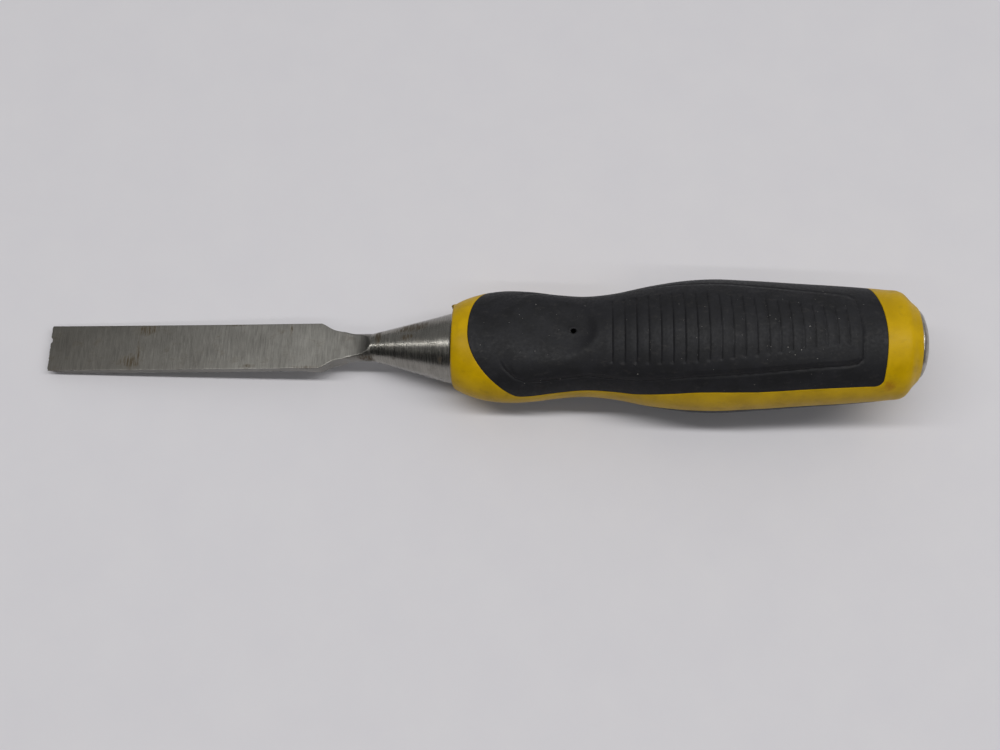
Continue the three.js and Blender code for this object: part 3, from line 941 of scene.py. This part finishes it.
def black_rubber():
    """Matt soft rubber with dust, specks and lint, and painted shade that makes the inside of the injection
    hole black.
    """
    s = Shading("black_rubber").read_tool_coordinates()
    cloud = s.noise(s.tool, 0.2, 4, 0.6)
    colour = s.blend(s.ramp(cloud, 0.3, 0.7), srgb(20, 20, 22), srgb(28, 28, 31))
    worn = s.noise(s.stretched(0.5, 1, 1), 0.8, 6, 0.68)
    dust = s.ramp(worn, 0.52, 0.8, 0.0, 0.22)
    colour = s.blend(dust, colour, srgb(84, 80, 76))
    specks = s.ramp(s.noise(s.tool, 5.5, 2, 0.5), 0.74, 0.79, 0.0, 0.4)
    colour = s.blend(specks, colour, srgb(120, 114, 104))
    lint = s.ramp(s.noise(s.stretched(2.2, 3.4, 3.0, (5, 2, 8)), 1.0, 1, 0.4), 0.8, 0.83, 0.0, 0.9)
    colour = s.blend(lint, colour, srgb(196, 192, 184))
    # Painted shade: the inside of the injection hole is coloured black and loses its shine.
    hole = s.spot((GATE_X, GATE_Y, 9.5), (0.85, 0.85, 4.0))
    colour = s.blend(hole, colour, srgb(3, 3, 3))
    rough = s.ramp(s.noise(s.tool, 1.3, 4, 0.6), 0.3, 0.7, 0.5, 0.66)
    s.set(Base_Color=colour, Roughness=rough, Specular_IOR_Level=s.ramp(hole, 0.0, 1.0, 0.25, 0.0))
    coarse_grain = s.maths("MULTIPLY", s.noise(s.tool, 2.0, 3, 0.5), 0.5)
    grain = s.maths("ADD", s.noise(s.tool, 9.0, 2, 0.6), coarse_grain)
    s.bump(grain, 0.4, 0.00006)
    return s


def cap_steel():
    """Dulled steel with scuffs."""
    s = Shading("cap_steel").read_tool_coordinates()
    cloud = s.noise(s.tool, 0.5, 5, 0.62)
    colour = s.blend(s.ramp(cloud, 0.35, 0.7), srgb(176, 173, 166), srgb(140, 134, 124))
    scuffs = s.noise(s.stretched(1, 2.2, 0.7), 2.4, 5, 0.65)
    s.set(Base_Color=colour, Metallic=1.0, Roughness=s.ramp(scuffs, 0.3, 0.7, 0.24, 0.42))
    s.bump(scuffs, 0.4, 0.00005)
    return s


# ---- pieces of the chisel ---------------------------------------------------------------------

blade = blade_forging()
core = handle_core()
upper = upper_grip()
lower = lower_grip()
cap = strike_cap()
blade_steel().paint(blade)
yellow_plastic().paint(core)
black_rubber().paint(upper, lower)
cap_steel().paint(cap)


# ---- table, light and camera ------------------------------------------------------------------

def table():
    """A plain pale table top, just below the tool."""
    bpy.ops.mesh.primitive_plane_add(size=6, location=(0, 0, -0.00002))
    floor = bpy.context.object
    floor.name = "table_top"
    s = Shading("pale_table")
    place = s.nodes.new("ShaderNodeTexCoord").outputs["Object"]
    mottle = s.noise(place, 60.0, 5, 0.6)
    s.set(Base_Color=s.blend(mottle, srgb(207, 205, 209), srgb(213, 211, 213)), Roughness=0.7,
          Specular_IOR_Level=0.25)
    s.bump(s.noise(place, 2500.0, 2, 0.5), 0.15, 0.00005)
    s.paint(floor)


def tube_light(name, place, length, width, power):
    """A long soft light above the table, parallel to the tool, that points at it."""
    light = bpy.data.lights.new(name, "AREA")
    light.shape = "RECTANGLE"
    light.size = length
    light.size_y = width
    light.energy = power
    lamp = bpy.data.objects.new(name, light)
    lamp.location = place
    lamp.rotation_euler = (math.atan2(-place[1], place[2]), 0, 0)
    bpy.context.scene.collection.objects.link(lamp)
    return lamp


def surroundings():
    """A dim room that is darker on the near side, low down and to the left."""
    world_light = bpy.data.worlds.new("room")
    world_light.use_nodes = True
    bpy.context.scene.world = world_light
    nodes = world_light.node_tree.nodes
    links = world_light.node_tree.links
    direction = nodes.new("ShaderNodeTexCoord").outputs["Generated"]
    weights = nodes.new("ShaderNodeVectorMath")
    weights.operation = "DOT_PRODUCT"
    weights.inputs[1].default_value = (0.25, 0.6, 0.55)
    links.new(direction, weights.inputs[0])
    ramp = nodes.new("ShaderNodeMapRange")
    ramp.interpolation_type = "SMOOTHSTEP"
    links.new(weights.outputs["Value"], ramp.inputs["Value"])
    for name, value in (("From Min", 0.0), ("From Max", 1.0), ("To Min", 0.03), ("To Max", 0.5)):
        ramp.inputs[name].default_value = value
    background = nodes["Background"]
    background.inputs["Color"].default_value = (0.97, 0.98, 1.0, 1.0)
    links.new(ramp.outputs["Result"], background.inputs["Strength"])


def camera():
    """The main view: from the near side, steeply down."""
    elevation = math.radians(70.0)
    turn = math.radians(-1.65)
    forward = Vector((math.sin(turn) * math.cos(elevation), math.cos(turn) * math.cos(elevation),
                      -math.sin(elevation)))
    data = bpy.data.cameras.new("camera")
    data.lens = 43.5
    data.sensor_width = 36
    view = bpy.data.objects.new("camera", data)
    view.location = Vector((10.27, -116.17, 310.1)) * MM
    view.rotation_euler = forward.to_track_quat("-Z", "Y").to_euler()
    bpy.context.scene.collection.objects.link(view)
    bpy.context.scene.camera = view


table()
surroundings()
tube_light("overhead", (0.2, 0.0, 1.2), 2.6, 0.1, 14.0)
tube_light("near_side", (0.45, -0.62, 1.03), 2.6, 0.04, 2.55)
camera()
bpy.context.scene.view_settings.view_transform = "Standard"
